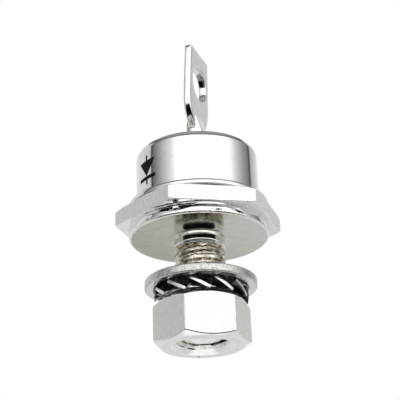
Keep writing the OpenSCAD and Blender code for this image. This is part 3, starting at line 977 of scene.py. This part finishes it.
def build_camera():
    """Camera from its place, its aim and its roll."""
    forward = (CAMERA_TO - CAMERA_AT) / np.linalg.norm(CAMERA_TO - CAMERA_AT)
    right = np.cross(forward, (0, 0, 1))
    right /= np.linalg.norm(right)
    above = np.cross(right, forward)
    pose = np.eye(4)
    pose[:3, 0] = math.cos(CAMERA_ROLL) * right + math.sin(CAMERA_ROLL) * above
    pose[:3, 1] = -math.sin(CAMERA_ROLL) * right + math.cos(CAMERA_ROLL) * above
    pose[:3, 2] = -forward
    pose[:3, 3] = CAMERA_AT * MM
    camera = add_object("camera", bpy.data.cameras.new("camera"))
    camera.data.sensor_width = CAMERA_SENSOR
    camera.data.lens = CAMERA_LENS
    camera.data.clip_start, camera.data.clip_end = CAMERA_CLIP
    camera.matrix_world = Matrix(pose.tolist())
    bpy.context.scene.camera = camera


def build_world():
    """White to the camera, and a studio of pale and dark panels, fixed in the room, to the metal."""
    world = bpy.data.worlds.new("studio")
    world.use_nodes = True
    bpy.context.scene.world = world
    world.cycles.sampling_method = "NONE"
    world.node_tree.nodes.clear()
    w = Nodes(world.node_tree)

    def level(value):
        """Grey that is a little green."""
        return (value * 0.985, value, value * 0.995)

    def round_room(degrees):
        """Place on a ramp that runs once round the room."""
        return degrees / 360 + 0.5

    def share(value, start, end):
        values = {"Value": value, "From Min": start, "From Max": end}
        return w.node("ShaderNodeMapRange", values, interpolation_type="SMOOTHSTEP").outputs["Result"]

    def mix(part, a, b):
        return w.node("ShaderNodeMix", {0: part, 6: a, 7: b}, data_type="RGBA").outputs[2]

    def background(colour, strength):
        return w.node("ShaderNodeBackground", {"Color": colour, "Strength": strength}).outputs[0]

    def mix_shader(part, a, b):
        return w.node("ShaderNodeMixShader", {0: part, 1: a, 2: b}).outputs[0]

    aim = w.node("ShaderNodeTexCoord").outputs["Generated"]
    values = {"Vector": aim, "Angle": -CAMERA_TURN}
    turned = w.node("ShaderNodeVectorRotate", values, rotation_type="Z_AXIS")
    x, y, z = w.node("ShaderNodeSeparateXYZ", {"Vector": turned.outputs["Vector"]}).outputs
    turn = w.calc("ADD", w.calc("DIVIDE", w.calc("ARCTAN2", y, x), TURN), 0.5)
    walls = w.shade(turn, [(round_room(degrees), level(value)) for degrees, value in WALLS])
    low = w.shade(turn, [(round_room(degrees), level(value)) for degrees, value in LOW_WALLS])
    ceiling = w.shade(z, [(up, level(value)) for up, value in CEILING])
    aside = w.calc("ABSOLUTE", w.calc("MULTIPLY", w.calc("SUBTRACT", turn, 0.5), 360 / DARK_TURN))
    lower = w.calc("ABSOLUTE", w.calc("DIVIDE", w.calc("SUBTRACT", z, DARK_Z), DARK_TALL))
    reach = w.calc("ADD", w.calc("POWER", aside, DARK_POWER), w.calc("POWER", lower, DARK_POWER))
    low = mix(share(reach, *DARK_EDGE), low, (0.004, 0.004, 0.004, 1))
    low = mix(share(z, *FLOOR_FROM), low, (1, 1, 1, 1))
    studio = mix(share(z, *CEILING_FROM), walls, ceiling)
    studio = mix(share(z, *LOW_FROM), studio, low)

    ray = w.node("ShaderNodeLightPath").outputs
    soft = mix_shader(ray["Is Glossy Ray"], background((0.9, 0.9, 0.9, 1), 0.8), background(studio, 1.0))
    seen = w.calc("MAXIMUM", ray["Is Camera Ray"], ray["Is Transmission Ray"])
    final = mix_shader(seen, soft, background((1, 1, 1, 1), 1.0))
    w.node("ShaderNodeOutputWorld", {"Surface": final})


def add_lamp(name, place, size, watts):
    """Round lamp that faces the origin and lights what isn't mirror bright."""
    lamp = bpy.data.lights.new(name, "AREA")
    lamp.shape, lamp.size, lamp.energy = "DISK", size, watts
    obj = add_object(name, lamp)
    obj.location = place
    obj.rotation_mode = "QUATERNION"
    obj.rotation_quaternion = (-Vector(place)).to_track_quat("-Z", "Y")
    obj.visible_glossy = False
    obj.visible_camera = False


def build_floor():
    """Pale floor under the nut, seen from above only, so that views from below show the whole object."""
    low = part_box("hex_nut")[0][2]
    corners = ((-1, -1), (1, -1), (1, 1), (-1, 1))
    mesh = bpy.data.meshes.new("floor")
    mesh.from_pydata([(x * GROUND_HALF, y * GROUND_HALF, low) for x, y in corners], [], [(0, 1, 2, 3)])
    floor = add_object("floor", mesh)
    f = Finish("floor")
    tone = f.shade(f.noise(400, 4), [(0.3, grey(0.84)), (0.7, grey(0.88))])
    f.set(Base_Color=tone, Roughness=0.9, Specular_IOR_Level=0.0)
    fade = f.spread(f.radius(), 0.0, 1.0, *GROUND_FADE)
    under = f.node("ShaderNodeNewGeometry").outputs["Backfacing"]
    clear = f.node("ShaderNodeBsdfTransparent").outputs[0]
    hide = f.calc("MAXIMUM", fade, under)
    shown = f.node("ShaderNodeMixShader", {0: hide, 1: f.shader.outputs[0], 2: clear}).outputs[0]
    f.feed(f.tree.nodes["Material Output"].inputs["Surface"], shown)
    wear(floor, f.mat)
    floor.visible_glossy = floor.visible_diffuse = floor.visible_transmission = floor.visible_shadow = False


build_camera()
build_world()
add_lamp("key", place=(-0.10, -0.16, 0.22), size=0.16, watts=0.35)
add_lamp("fill", place=(0.20, -0.10, 0.10), size=0.2, watts=0.15)
build_floor()
bpy.context.scene.view_settings.view_transform = "Standard"
